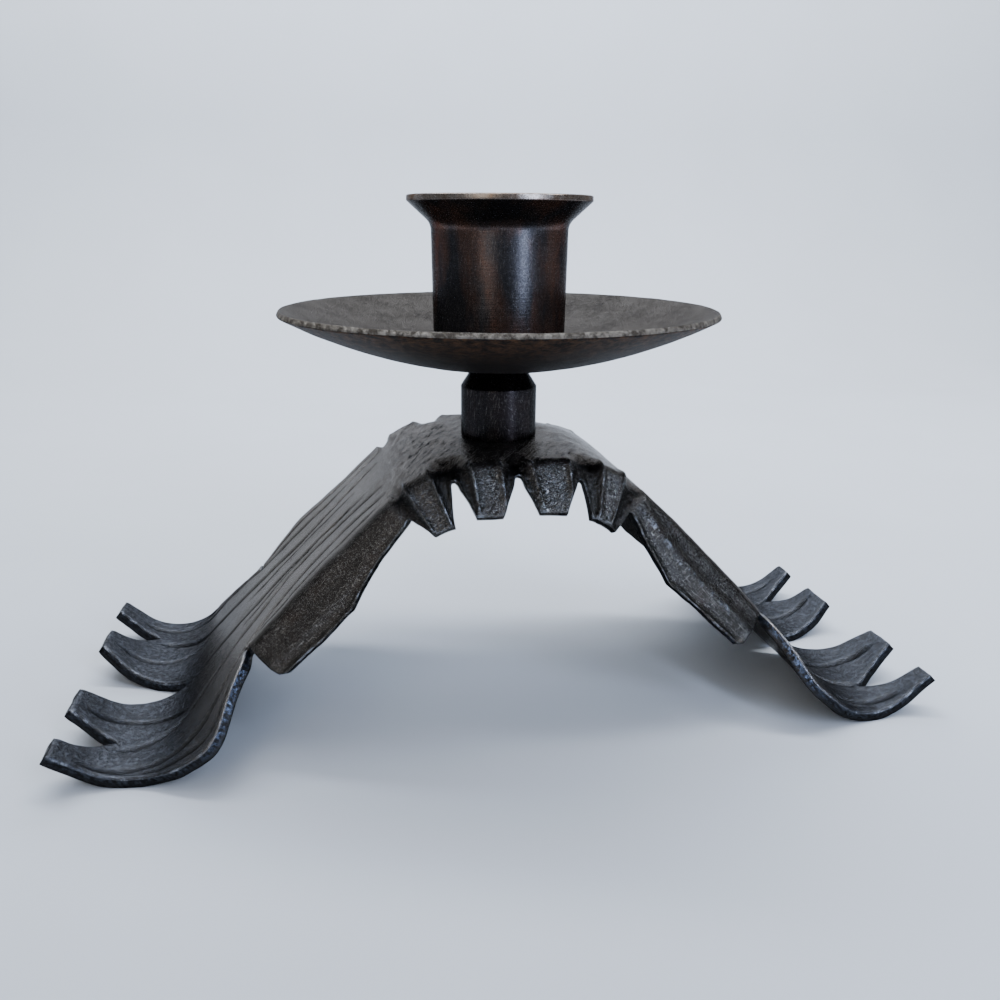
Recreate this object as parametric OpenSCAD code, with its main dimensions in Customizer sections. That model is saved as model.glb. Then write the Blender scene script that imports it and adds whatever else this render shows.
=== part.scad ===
// Candle holder: a turned cup, a dished drip pan and a round collar, clamped by one screw to a
// forged steel plate that is arched, slit along its edges and curled up into four split feet.
// Origin: on the floor, under the middle of the stack. X runs along the arch, Z is up.

/* [Base plate] */
// Thickness of the plate
plate_t = 2.2; // [1.6:0.1:3.2]
// Height of the crown's top face over the floor
crown_h = 56; // [48:0.1:66]
// Length of the crown's flat top
crown_flat_l = 16.4; // [16:0.1:36]
// Radius of the bend from the crown into a leg, on the top face
crown_bend_r = 23; // [16:0.5:27]
// Slope of a leg where it leaves the crown's bend, in degrees
leg_top_slope = 42.5; // [39:0.5:45]
// Radius of a leg's slight outward bow
leg_bow_r = 420; // [330:10:900]
// Radius of the curl of a foot, on the top face
foot_curl_r = 12; // [9:0.5:14]
// Slope of the toes at their tips, in degrees
toe_rise = 41.5; // [35:0.5:50]
// Straight length at the end of each toe
toe_tip_len = 5.9; // [3:0.1:8]
// Depth of the flat dressed on the underside of each foot
foot_flat = 0.15; // [0.1:0.05:0.3]
// Overall width over the feet
foot_w = 72; // [68:0.5:80]
// Distance from a foot's widest point down the leg to the start of its curl
heel_back = 3.5; // [1:0.1:6]
// Width over the feet where they leave the ankles' slits
heel_w = 49; // [44:0.5:56]

/* [Folds] */
// Width of the plate between its two lines of folds
fold_w = 42; // [38:0.5:48]
// Angle of the folds below the plate, in degrees
fold_angle = 55; // [45:1:65]
// Inside radius of the folds
fold_in_r = 0.8; // [0.5:0.1:1.5]
// Depth of the slits' roots under the plate's underside
slit_web = 0.5; // [0.2:0.1:1.2]
// Width of a slit at its root
slit_w = 0.9; // [0.6:0.1:1.6]
// Distance between slits along the crown
slit_pitch = 13; // [11.5:0.1:14]
// Drop of the tabs under the top face
tab_drop = 8.5; // [6.5:0.1:9.5]
// Width of an inner tab at its tip
inner_tab_tip_w = 5; // [3:0.1:7]
// Width of an outer tab at its tip
outer_tab_tip_w = 7.8; // [5:0.1:9]
// Width of the notch between an outer tab's tip and the leg flap's start
tab_notch_w = 1.4; // [0.8:0.1:3]
// Drop of the leg flaps at their widest
flap_drop = 8.1; // [6:0.1:9]
// Length of a leg flap along its fold
flap_len = 39.2; // [30:0.2:42]

/* [Splits and grooves] */
// Width between the outer edges of a foot's two toes at the tips
foot_tip_w = 24.8; // [22:0.2:27]
// How far a foot's outer edge draws in towards the tip
toe_draw = 2.1; // [0:0.1:3]
// Width of an outer toe at its tip
outer_toe_w = 6; // [4:0.1:7]
// Width of an inner toe at its tip
inner_toe_w = 8.7; // [6:0.1:9.5]
// Length of the split between the two toes of a foot
toe_split_len = 11; // [8:0.1:14]
// Length of the split between the two feet of a leg
foot_split_len = 23.4; // [18:0.2:26]
// Distance between the chiselled grooves along a leg
groove_pitch = 7.4; // [6:0.1:8.5]
// Width of a chiselled groove
groove_w = 0.9; // [0.6:0.1:1.4]
// Depth of a chiselled groove
groove_depth = 0.45; // [0.2:0.05:0.8]

/* [Collar] */
// Diameter of the collar
collar_d = 15.7; // [13:0.1:19]
// Height of the collar
collar_h = 14.1; // [9:0.1:20]
// Width of the chamfer at the collar's neck
collar_chamfer_w = 2.3; // [0.5:0.1:3]
// Height of the chamfer at the collar's neck
collar_chamfer_h = 3.6; // [1:0.1:5]

/* [Drip pan] */
// Diameter of the drip pan
pan_d = 88.4; // [72:0.2:110]
// Inside depth of the drip pan
pan_depth = 11.1; // [8:0.1:15]
// Thickness of the pan's sheet
pan_t = 1.25; // [0.8:0.05:2]
// Width of the pan's flat seat around the collar's neck
seat_margin = 0.95; // [0.3:0.05:3]
// Slope of the pan's wall at its edge, in degrees
pan_edge_slope = 28; // [25:0.5:32]

/* [Candle cup] */
// Bore of the cup, for a standard dinner candle
candle_bore_d = 23; // [20:0.1:24]
// Wall of the cup under the flare
cup_wall = 2.1; // [1.2:0.1:2.4]
// Height of the cup
cup_h = 32.5; // [28:0.1:50]
// Thickness of the cup's floor under the screw's head
cup_floor = 2.5; // [2:0.1:4]
// Radial clearance around the screw's head, in its recess in the candle's seat
head_gap = 0.5; // [0.2:0.1:1]
// Depth of the screw's head under the candle's seat
head_sink = 0.3; // [0.1:0.1:1]
// Gap between the cup's turned foot and the pan's rising wall
foot_gap = 0.05; // [0.02:0.01:0.2]
// How much narrower the cup is at its foot
cup_taper = 0.7; // [0:0.1:1.2]
// How far the rim stands out from the cup's wall
rim_reach = 4.7; // [3:0.1:7]
// Height of the rim's outer edge
rim_edge_h = 1.1; // [0.6:0.1:2]
// Slope of the flare above the horizontal, in degrees
flare_slope = 42; // [35:1:50]
// Radius between the cup's wall and its flare
flare_fillet_r = 3; // [1.5:0.1:4]

/* [Clamp screw, washer and nut] */
// Nominal diameter of the screw
screw_d = 5; // [4:0.5:5]
// Length of the screw that shows below the nut
screw_end = 1.2; // [0.5:0.1:4]
// Diameter of the screw's pan head
screw_head_d = 9.5; // [8:0.1:10.5]
// Height of the screw's pan head
screw_head_h = 3; // [2:0.1:4]
// Width of the screwdriver slot
slot_w = 1.2; // [0.8:0.1:1.6]
// Depth of the screwdriver slot
slot_depth = 1.4; // [1:0.1:1.6]
// Radial clearance of the screw in the stack's holes
hole_clearance = 0.25; // [0.1:0.05:0.5]
// Radial clearance of the screw in the nut's bore
nut_clearance = 0.03; // [0.01:0.01:0.1]
// Diameter of the washer
washer_d = 10; // [9:0.1:13]
// Thickness of the washer
washer_t = 1; // [0.8:0.1:1.6]
// Width of the nut across its flats
nut_af = 8; // [7:0.5:10]
// Height of the nut
nut_h = 4; // [3:0.1:5]

/* [Hidden] */
$fn = 96;

// A small overrun that lets a cutter pass clear through a face.
over = 1;
// The plate's runs overlap by a hair where they join, and its bends lie a hair deeper than the
// runs beside them, so that no two faces almost coincide.
lap = 0.02;
hair = 0.01;
// Steps on a short arc in an outline.
arc_steps = 6;
hole_r = screw_d / 2 + hole_clearance;

// The plate's long section. A leg ends where its slope meets the foot's curl at the right height.
crown_flat_x = crown_flat_l / 2;
curl_z = plate_t + foot_curl_r - foot_flat;
leg_foot_slope = acos((curl_z - crown_h + crown_bend_r * (1 - cos(leg_top_slope))
    + leg_bow_r * cos(leg_top_slope)) / (leg_bow_r + foot_curl_r));
bow_x = crown_flat_x - (leg_bow_r - crown_bend_r) * sin(leg_top_slope);
bow_z = crown_h - crown_bend_r - (leg_bow_r - crown_bend_r) * cos(leg_top_slope);
// Distance from the middle to the line where the feet touch the floor.
stance = bow_x + (leg_bow_r + foot_curl_r) * sin(leg_foot_slope);

// Distances along the top face, from the middle of the crown.
arc_len = PI / 180;
s_bend = crown_flat_x;
s_leg = s_bend + crown_bend_r * leg_top_slope * arc_len;
s_foot = s_leg + leg_bow_r * (leg_foot_slope - leg_top_slope) * arc_len;
s_tip = s_foot + foot_curl_r * (leg_foot_slope + toe_rise) * arc_len;
s_end = s_tip + toe_tip_len;

// Slope of the top face at distance s, downwards positive.
function slope_at(s) =
    s <= s_bend ? 0
    : s <= s_leg ? (s - s_bend) / crown_bend_r / arc_len
    : s <= s_foot ? leg_top_slope + (s - s_leg) / leg_bow_r / arc_len
    : s <= s_tip ? leg_foot_slope - (s - s_foot) / foot_curl_r / arc_len
    : -toe_rise;

// Point [x, z] on the top face at distance s.
function top_at(s) =
    let (a = slope_at(s))
    s <= s_bend ? [s, crown_h]
    : s <= s_leg ? [crown_flat_x + crown_bend_r * sin(a), crown_h - crown_bend_r * (1 - cos(a))]
    : s <= s_foot ? [bow_x + leg_bow_r * sin(a), bow_z + leg_bow_r * cos(a)]
    : [stance - foot_curl_r * sin(a), curl_z - foot_curl_r * cos(a)]
        + max(0, s - s_tip) * [cos(toe_rise), sin(toe_rise)];

// Point [x, z] at distance s and depth d under the top face.
function under(s, d) = top_at(s) - d * [sin(slope_at(s)), cos(slope_at(s))];

// The slits, tabs and flaps, as distances along the fold.
s_notch = 2 * slit_pitch;
s_flap = s_notch + slit_w / 2;
s_ankle = s_flap + flap_len;
fold_y = fold_w / 2;
fold_out_r = fold_in_r + plate_t;
// The flat part ends just inside the fold, and the folded part's section starts inside that.
flat_y = fold_y - over / 2;
slit_root = plate_t + slit_web;

// Points along an arc of an outline.
function arc_points(c, r, from, to) =
    [for (i = [0:arc_steps]) c + r * [cos(from + (to - from) * i / arc_steps),
                                      sin(from + (to - from) * i / arc_steps)]];

// Turns a section, drawn as [height over the top face, distance across the plate], so that its
// height is along Z and its width along Y.
module turned() {
    rotate([-90, -90, 0]) children();
}

module over_crown() {
    for (side = [0, 1])
        mirror([side, 0, 0])
            translate([-lap, 0, crown_h])
                rotate([90, 0, 90])
                    linear_extrude(crown_flat_x + 2 * lap)
                        mirror([1, -1]) children();
    for (side = [0, 1])
        mirror([side, 0, 0])
            translate([crown_flat_x, 0, crown_h - crown_bend_r])
                turned()
                    rotate_extrude(angle = leg_top_slope)
                        translate([crown_bend_r - hair, 0]) children();
}

// The leg's bow turns about a centre under its own top end.
module over_leg(start = 0, end = leg_foot_slope - leg_top_slope) {
    leg_top = top_at(s_leg);
    lap_angle = lap / leg_bow_r / arc_len;
    translate([leg_top[0], 0, leg_top[1]])
        rotate([0, leg_top_slope, 0])
            translate([0, 0, -leg_bow_r])
                turned()
                    rotate([0, 0, start - lap_angle])
                        rotate_extrude(angle = end - start + 2 * lap_angle)
                            translate([leg_bow_r, 0]) children();
}

module over_curl(start = leg_foot_slope, end = toe_rise) {
    translate([stance, 0, curl_z])
        turned()
            rotate([0, 0, 180 - end])
                rotate_extrude(angle = start + end)
                    translate([foot_curl_r + hair, 0]) mirror([1, 0]) children();
}

module over_toe_tip() {
    translate([stance, 0, curl_z])
        rotate([0, -toe_rise, 0])
            translate([-lap, 0, -foot_curl_r])
                rotate([90, 0, 90])
                    linear_extrude(toe_tip_len + lap)
                        mirror([1, -1]) children();
}

// The flat section, wide enough for the feet.
module flat_section() {
    translate([-plate_t, -foot_w / 2]) square([plate_t, foot_w]);
}

// The section of one folded edge: the bend and the part below it.
module fold_section() {
    bend = [-fold_out_r, fold_y];
    reach = (tab_drop + flap_drop) * 0.9;
    out = arc_points(bend, fold_out_r, 0, fold_angle);
    inside = arc_points(bend, fold_in_r, fold_angle, 0);
    down = reach * [-sin(fold_angle), cos(fold_angle)];
    polygon(concat(
        [[0, fold_y - over]], out, [out[arc_steps] + down, inside[0] + down], inside,
        [[-plate_t, fold_y - over]]
    ));
}

// The feet's lines at the tips of the toes, as distances across the plate.
foot_y = foot_w / 2;
heel_y = heel_w / 2;
outer_toe_out_y = foot_y - toe_draw;
outer_toe_in_y = outer_toe_out_y - outer_toe_w;
inner_toe_in_y = outer_toe_out_y - foot_tip_w;
inner_toe_out_y = inner_toe_in_y + inner_toe_w;

// Outline of the whole plate from above: the arch between its folds, and the split feet. It runs
// past the tips, so that the toes keep their square-cut ends.
module plan_outline() {
    toe_x = top_at(s_end)[0];
    past_x = toe_x + plate_t;
    split = [top_at(s_end - toe_split_len)[0], (outer_toe_in_y + inner_toe_out_y) / 2];
    fork_x = top_at(s_end - foot_split_len)[0];
    spread = (past_x - split[0]) / (toe_x - split[0]);
    for (sx = [0, 1])
        for (sy = [0, 1])
            mirror([sx, 0]) mirror([0, sy])
                polygon([
                    [-over, -over],
                    [fork_x, -over],
                    [fork_x, 0],
                    [past_x, inner_toe_in_y * (past_x - fork_x) / (toe_x - fork_x)],
                    [past_x, split[1] + spread * (inner_toe_out_y - split[1])],
                    split,
                    [past_x, split[1] + spread * (outer_toe_in_y - split[1])],
                    [past_x, outer_toe_out_y],
                    [top_at(s_foot - heel_back)[0], foot_y],
                    [top_at(s_ankle + slit_w)[0], heel_y],
                    [top_at(s_ankle + slit_w)[0], flat_y],
                    [-over, flat_y]
                ]);
}

// The lower edge of a leg flap: [share of its length, share of its drop].
flap_shape = [[0.24, 0.74], [0.44, 1], [0.71, 1], [0.97, 0.85]];

// Lower edge of the folded part, half of the arch, as [along the fold, depth] points.
fold_edge = concat(
    [
        [0, slit_root],
        [slit_w / 2, slit_root],
        [(slit_pitch - inner_tab_tip_w) / 2, tab_drop],
        [(slit_pitch + inner_tab_tip_w) / 2, tab_drop],
        [slit_pitch - slit_w / 2, slit_root],
        [slit_pitch + slit_w / 2, slit_root],
        [s_notch - tab_notch_w - outer_tab_tip_w, tab_drop],
        [s_notch - tab_notch_w, tab_drop],
        [s_notch - slit_w / 2, slit_root + slit_web],
        [s_flap, slit_root + slit_web]
    ],
    [for (f = flap_shape) [s_flap + f[0] * flap_len, f[1] * flap_drop]],
    [[s_ankle, slit_web]]
);

module front_outline() {
    low = [for (p = fold_edge) under(p[0], p[1])];
    high = [for (i = [24:-1:0]) under(s_ankle * i / 24, -over)];
    for (sx = [0, 1])
        mirror([sx, 0]) polygon(concat(low, high));
}

module folded_edge() {
    intersection() {
        union() {
            over_crown() fold_section();
            over_leg() fold_section();
            mirror([1, 0, 0]) over_leg() fold_section();
        }
        rotate([90, 0, 0])
            linear_extrude(4 * fold_w, center = true) front_outline();
    }
}

// One chiselled groove's section, at distance y across the plate.
module groove_section(y) {
    polygon([
        [groove_depth, y - groove_w],
        [groove_depth, y + groove_w],
        [-groove_depth, y]
    ]);
}

module base_plate() color([0.16, 0.16, 0.17]) {
    groove_start = 6 / leg_bow_r / arc_len;
    toe_groove_y = (inner_toe_in_y + inner_toe_out_y) / 2;
    difference() {
        union() {
            intersection() {
                union() {
                    over_crown() flat_section();
                    for (sx = [0, 1])
                        mirror([sx, 0, 0]) {
                            over_leg() flat_section();
                            over_curl() flat_section();
                            over_toe_tip() flat_section();
                        }
                }
                translate([0, 0, -over]) linear_extrude(crown_h + 2 * over) plan_outline();
            }
            for (sy = [0, 1])
                mirror([0, sy, 0]) folded_edge();
        }
        translate([0, 0, -plate_t]) linear_extrude(plate_t) square(3 * stance, center = true);
        cylinder(r = hole_r, h = crown_h + over);
        for (sx = [0, 1])
            mirror([sx, 0, 0]) {
                for (i = [-2:2])
                    over_leg(start = groove_start) groove_section(i * groove_pitch);
                for (sy = [-1, 1])
                    over_curl(0.5 * leg_foot_slope, toe_rise - 8) groove_section(sy * toe_groove_y);
            }
    }
}

module collar() color([0.10, 0.10, 0.11]) {
    edge = 0.3;
    translate([0, 0, crown_h])
        rotate_extrude()
            polygon([
                [hole_r, 0],
                [collar_d / 2 - edge, 0],
                [collar_d / 2, edge],
                [collar_d / 2, collar_h - collar_chamfer_h],
                [collar_d / 2 - collar_chamfer_w, collar_h],
                [hole_r, collar_h]
            ]);
}

pan_z = crown_h + collar_h;

// The pan's wall is an arc from the seat's edge to the pan's edge, given its slope at the edge.
cup_bore_r = candle_bore_d / 2;
cup_wall_r = cup_bore_r + cup_wall;
cup_foot_r = cup_wall_r - cup_taper / 2;
pan_seat_r = collar_d / 2 - collar_chamfer_w + seat_margin;
pan_run = pan_d / 2 - pan_t * sin(pan_edge_slope) - pan_seat_r;
pan_chord_slope = atan(pan_depth / pan_run);
pan_start_slope = 2 * pan_chord_slope - pan_edge_slope;
pan_wall_r = norm([pan_run, pan_depth]) / (2 * sin(pan_edge_slope - pan_chord_slope));
pan_steps = 16;

// Height of the pan's inner face over its seat, at radius r.
function pan_rise(r) =
    pan_wall_r * (cos(pan_start_slope)
        - cos(asin(sin(pan_start_slope) + (r - pan_seat_r) / pan_wall_r)));

// Point [radius, height] on the wall, at depth d under its inner face.
function pan_wall(i, d) =
    let (a = pan_start_slope + (pan_edge_slope - pan_start_slope) * i / pan_steps)
    [pan_seat_r - pan_wall_r * sin(pan_start_slope) + (pan_wall_r + d) * sin(a),
     pan_t + pan_wall_r * cos(pan_start_slope) - (pan_wall_r + d) * cos(a)];

module drip_pan() color([0.30, 0.30, 0.31]) {
    translate([0, 0, pan_z])
        rotate_extrude()
            polygon(concat(
                [[hole_r, 0], [pan_seat_r, 0]],
                [for (i = [1:pan_steps]) pan_wall(i, pan_t)],
                [for (i = [pan_steps:-1:0]) pan_wall(i, 0)],
                [[hole_r, pan_t]]
            ));
}

cup_z = pan_z + pan_t;

// The flare's straight part ends at the rim's edge, and its fillet ends upright on the wall.
rim_r = cup_wall_r + rim_reach;
flare_turn = 90 - flare_slope;
flare_rise = (rim_reach - flare_fillet_r * (1 - cos(flare_turn))) * tan(flare_slope);
fillet_rise = flare_fillet_r * sin(flare_turn);
cup_wall_top = cup_h - rim_edge_h - flare_rise - fillet_rise;
cup_bore_top = cup_wall_top + fillet_rise / 2;
// The candle stands around a recess that takes the screw's head.
candle_seat = cup_floor + screw_head_h + head_sink;
recess_r = screw_head_d / 2 + head_gap;

module candle_cup() color([0.12, 0.11, 0.11]) {
    edge = 0.45;
    mouth_r = rim_r - 2 * edge;
    // The foot is turned to a cone that clears the dished pan around its seat.
    foot_rise = pan_rise(cup_foot_r) + foot_gap;
    translate([0, 0, cup_z])
        rotate_extrude()
            polygon(concat(
                [
                    [hole_r, 0],
                    [pan_seat_r, 0],
                    [cup_foot_r - edge, foot_rise],
                    [cup_foot_r, foot_rise + edge]
                ],
                arc_points([cup_wall_r + flare_fillet_r, cup_wall_top], flare_fillet_r,
                           180, 180 - flare_turn),
                [
                    [rim_r, cup_h - rim_edge_h],
                    [rim_r, cup_h - edge],
                    [rim_r - edge, cup_h],
                    [mouth_r, cup_h],
                    [cup_bore_r + (mouth_r - cup_bore_r) * 0.2,
                     cup_bore_top + (cup_h - cup_bore_top) * 0.35],
                    [cup_bore_r, cup_bore_top],
                    [cup_bore_r, candle_seat],
                    [recess_r, candle_seat],
                    [recess_r, cup_floor],
                    [hole_r, cup_floor]
                ]
            ));
}

head_z = cup_z + cup_floor;
washer_z = crown_h - plate_t - washer_t;
nut_z = washer_z - nut_h;
screw_len = head_z - nut_z + screw_end;

module clamp_screw() color([0.55, 0.55, 0.56]) {
    crown = 0.8;
    translate([0, 0, head_z])
        difference() {
            union() {
                translate([0, 0, -screw_len]) cylinder(d = screw_d, h = screw_len);
                rotate_extrude()
                    polygon([
                        [0, 0],
                        [screw_head_d / 2, 0],
                        [screw_head_d / 2, screw_head_h - crown],
                        [screw_head_d / 2 - crown, screw_head_h],
                        [0, screw_head_h]
                    ]);
            }
            translate([-screw_head_d, -slot_w / 2, screw_head_h - slot_depth])
                cube([2 * screw_head_d, slot_w, slot_depth + over]);
        }
}

module washer() color([0.50, 0.50, 0.50]) {
    translate([0, 0, washer_z])
        difference() {
            cylinder(d = washer_d, h = washer_t);
            translate([0, 0, -over]) cylinder(r = hole_r, h = washer_t + 2 * over);
        }
}

module clamp_nut() color([0.45, 0.45, 0.46]) {
    translate([0, 0, nut_z])
        difference() {
            cylinder(r = nut_af / 2 / cos(30), h = nut_h, $fn = 6);
            translate([0, 0, -over])
                cylinder(r = screw_d / 2 + nut_clearance, h = nut_h + 2 * over);
        }
}

base_plate();
collar();
drip_pan();
candle_cup();
clamp_screw();
washer();
clamp_nut();
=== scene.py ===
"""Candle holder of blackened steel: a turned cup, a dished drip pan and a round collar, on a forged
plate that is arched, slit along its edges and curled up into four split feet.

Lengths are in millimetres until a mesh is made, and angles in degrees where a name says so."""
import math

import bpy
import numpy as np
from mathutils import Matrix, Vector
from mathutils.geometry import delaunay_2d_cdt


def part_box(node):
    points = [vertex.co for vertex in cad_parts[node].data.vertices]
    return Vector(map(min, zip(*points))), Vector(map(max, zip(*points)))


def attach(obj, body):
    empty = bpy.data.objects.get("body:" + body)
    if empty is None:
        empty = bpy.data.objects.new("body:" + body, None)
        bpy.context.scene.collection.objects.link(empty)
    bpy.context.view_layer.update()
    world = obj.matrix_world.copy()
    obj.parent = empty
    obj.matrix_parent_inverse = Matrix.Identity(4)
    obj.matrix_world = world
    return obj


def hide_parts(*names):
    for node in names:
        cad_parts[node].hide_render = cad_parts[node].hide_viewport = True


MM = 0.001

# Sizes of the plate, as the part has them.
PLATE_T = 2.2
CROWN_H = 56.0
CROWN_FLAT_L = 16.4
CROWN_BEND_R = 23.0
LEG_TOP_SLOPE = math.radians(42.5)
LEG_BOW_R = 420.0
FOOT_CURL_R = 12.0
TOE_RISE = math.radians(41.5)
TOE_TIP_LEN = 5.9
FOOT_FLAT = 0.15
FOLD_Y = 21.0
FOLD_ANGLE = math.radians(55)
FOLD_OUT_R = 3.0
SLIT_W = 0.9
S_ANKLE = 65.65
HOLE_R = 2.75

# Sizes of the collar, the pan and the cup.
COLLAR_R = 7.85
COLLAR_H = 14.1
COLLAR_CHAMFER_W = 2.3
COLLAR_CHAMFER_H = 3.6
PAN_R = 44.2
PAN_DEPTH = 11.1
PAN_T = 1.25
PAN_EDGE_SLOPE = math.radians(28)
PAN_SEAT_R = 6.5
CUP_BORE_R = 11.5
CUP_WALL = 2.1
CUP_H = 32.5
CUP_SEAT = 5.8
CUP_FLOOR = 2.5
CUP_TAPER = 0.7
CUP_FOOT_GAP = 0.05
RIM_REACH = 4.7
RIM_EDGE_H = 1.1
FLARE_SLOPE = math.radians(42)
FLARE_FILLET_R = 3.0
HEAD_RECESS_R = 5.25

# The plate's long section: where each bend begins, along the top face from the crown's middle.
CURL_Z = PLATE_T + FOOT_CURL_R - FOOT_FLAT
LEG_FOOT_SLOPE = math.acos(
    (CURL_Z - CROWN_H + CROWN_BEND_R * (1 - math.cos(LEG_TOP_SLOPE))
     + LEG_BOW_R * math.cos(LEG_TOP_SLOPE)) / (LEG_BOW_R + FOOT_CURL_R))
S_BEND = CROWN_FLAT_L / 2
S_LEG = S_BEND + CROWN_BEND_R * LEG_TOP_SLOPE
S_FOOT = S_LEG + LEG_BOW_R * (LEG_FOOT_SLOPE - LEG_TOP_SLOPE)
S_TIP = S_FOOT + FOOT_CURL_R * (LEG_FOOT_SLOPE + TOE_RISE)
S_END = S_TIP + TOE_TIP_LEN
BOW_X = S_BEND - (LEG_BOW_R - CROWN_BEND_R) * math.sin(LEG_TOP_SLOPE)
BOW_Z = CROWN_H - CROWN_BEND_R - (LEG_BOW_R - CROWN_BEND_R) * math.cos(LEG_TOP_SLOPE)
STANCE = BOW_X + (LEG_BOW_R + FOOT_CURL_R) * math.sin(LEG_FOOT_SLOPE)


def slope_at(s):
    """Slope of the top face in radians, downwards positive, at distances s from the middle."""
    return np.select(
        [s <= S_BEND, s <= S_LEG, s <= S_FOOT, s <= S_TIP],
        [0 * s, (s - S_BEND) / CROWN_BEND_R, LEG_TOP_SLOPE + (s - S_LEG) / LEG_BOW_R,
         LEG_FOOT_SLOPE - (s - S_FOOT) / FOOT_CURL_R],
        -TOE_RISE)


def top_at(s):
    """x and z of the top face at distances s from the middle."""
    a = slope_at(s)
    past = np.maximum(0, s - S_TIP)
    x = np.select(
        [s <= S_BEND, s <= S_LEG, s <= S_FOOT],
        [s, S_BEND + CROWN_BEND_R * np.sin(a), BOW_X + LEG_BOW_R * np.sin(a)],
        STANCE - FOOT_CURL_R * np.sin(a) + past * math.cos(TOE_RISE))
    z = np.select(
        [s <= S_BEND, s <= S_LEG, s <= S_FOOT],
        [0 * s + CROWN_H, CROWN_H - CROWN_BEND_R * (1 - np.cos(a)), BOW_Z + LEG_BOW_R * np.cos(a)],
        CURL_Z - FOOT_CURL_R * np.cos(a) + past * math.sin(TOE_RISE))
    return x, z


# Where the hand-made bends stray from the plan: place along and across, reach along and across,
# and rise. The front feet's outer edges sag, and the far edge is high on one leg.
HAND_BENDS = [
    (-79, -36, 8, 10, -3.0), (78, -36, 7, 9, -1.6), (-52, 24, 9, 9, 1.0), (14, 24, 7, 10, -1.8)]


def bent(s, w, h):
    """Where a point of the flat blank goes when the blank is arched and its edges are folded.

    s runs along the blank from its middle, w across it, and h is the height over the top face."""
    along, across = np.abs(s), np.abs(w)
    a = slope_at(along)
    x, z = top_at(along)
    folded = along < S_ANKLE + SLIT_W / 2
    turn = np.where(folded, np.clip((across - FOLD_Y) / FOLD_OUT_R, 0, FOLD_ANGLE), 0)
    straight = np.where(folded, np.maximum(0, across - FOLD_Y - FOLD_OUT_R * FOLD_ANGLE), 0)
    y = np.where(folded & (across > FOLD_Y), FOLD_Y + FOLD_OUT_R * np.sin(turn)
                 + straight * math.cos(FOLD_ANGLE), across)
    drop = FOLD_OUT_R * (1 - np.cos(turn)) + straight * math.sin(FOLD_ANGLE)
    lift = h * np.cos(turn) - drop
    for place_s, place_w, reach_s, reach_w, rise in HAND_BENDS:
        lift += rise * np.exp(-((s - place_s) / reach_s) ** 2 - ((w - place_w) / reach_w) ** 2)
    return np.stack([
        np.sign(s) * (x + lift * np.sin(a)),
        np.sign(w) * (y + h * np.sin(turn)),
        z + lift * np.cos(a)], axis=-1)


# The blank's edge, as (along, across) corners of one quarter, from the middle slit to the ankle.
# The photographed side's tabs and flaps have their own hand-cut shapes.
BACK_TABS = [
    (0.15, 25.3), (0.5, 26.0), (4.1, 32.6), (9.0, 32.8), (12.55, 26.2), (12.8, 25.5), (13.2, 25.5),
    (13.5, 26.2), (17.0, 33.0), (24.4, 32.9), (25.7, 27.6), (26.3, 27.4)]
FRONT_TABS_LEFT = [
    (0.3, 25.0), (0.8, 25.2), (1.1, 25.8), (1.35, 26.8), (3.8, 33.0), (9.3, 32.9), (12.1, 26.9),
    (12.4, 25.8), (12.9, 25.1), (13.5, 25.1), (14.0, 25.6), (14.2, 26.5), (16.6, 33.6), (23.7, 33.1), (25.4, 28.4), (25.8, 27.5), (26.2, 27.6)]
FRONT_TABS_RIGHT = [
    (-0.3, 25.0), (0.2, 25.2), (0.5, 25.8), (0.75, 26.8), (3.2, 32.5), (8.4, 32.9), (11.2, 27.9),
    (11.5, 26.9), (11.9, 26.2), (12.4, 26.05), (12.9, 26.4), (13.2, 27.3), (16.2, 33.3), (25.5, 33.2), (26.2, 30.2), (26.4, 28.0), (26.9, 27.8)]
BACK_FLAP = [(36.0, 29.6), (43.5, 32.0), (54.6, 32.1), (63.6, 30.8), (64.8, 29.2), (65.4, 21.2)]
FRONT_FLAP_LEFT = [
    (35.4, 29.1), (40.6, 30.5), (45.3, 32.1), (54.6, 32.0), (63.0, 31.2), (64.3, 30.3),
    (64.9, 28.4), (65.2, 25.0), (65.3, 21.2)]
FRONT_FLAP_RIGHT = [
    (33.8, 30.6), (42.2, 33.4), (54.0, 32.7), (64.1, 31.8), (65.1, 30.9), (65.6, 27.0),
    (65.7, 21.2)]
QUARTERS = {
    (1, 1): BACK_TABS + BACK_FLAP,
    (-1, 1): BACK_TABS + BACK_FLAP,
    (-1, -1): FRONT_TABS_LEFT + FRONT_FLAP_LEFT,
    (1, -1): FRONT_TABS_RIGHT + FRONT_FLAP_RIGHT,
}

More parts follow.
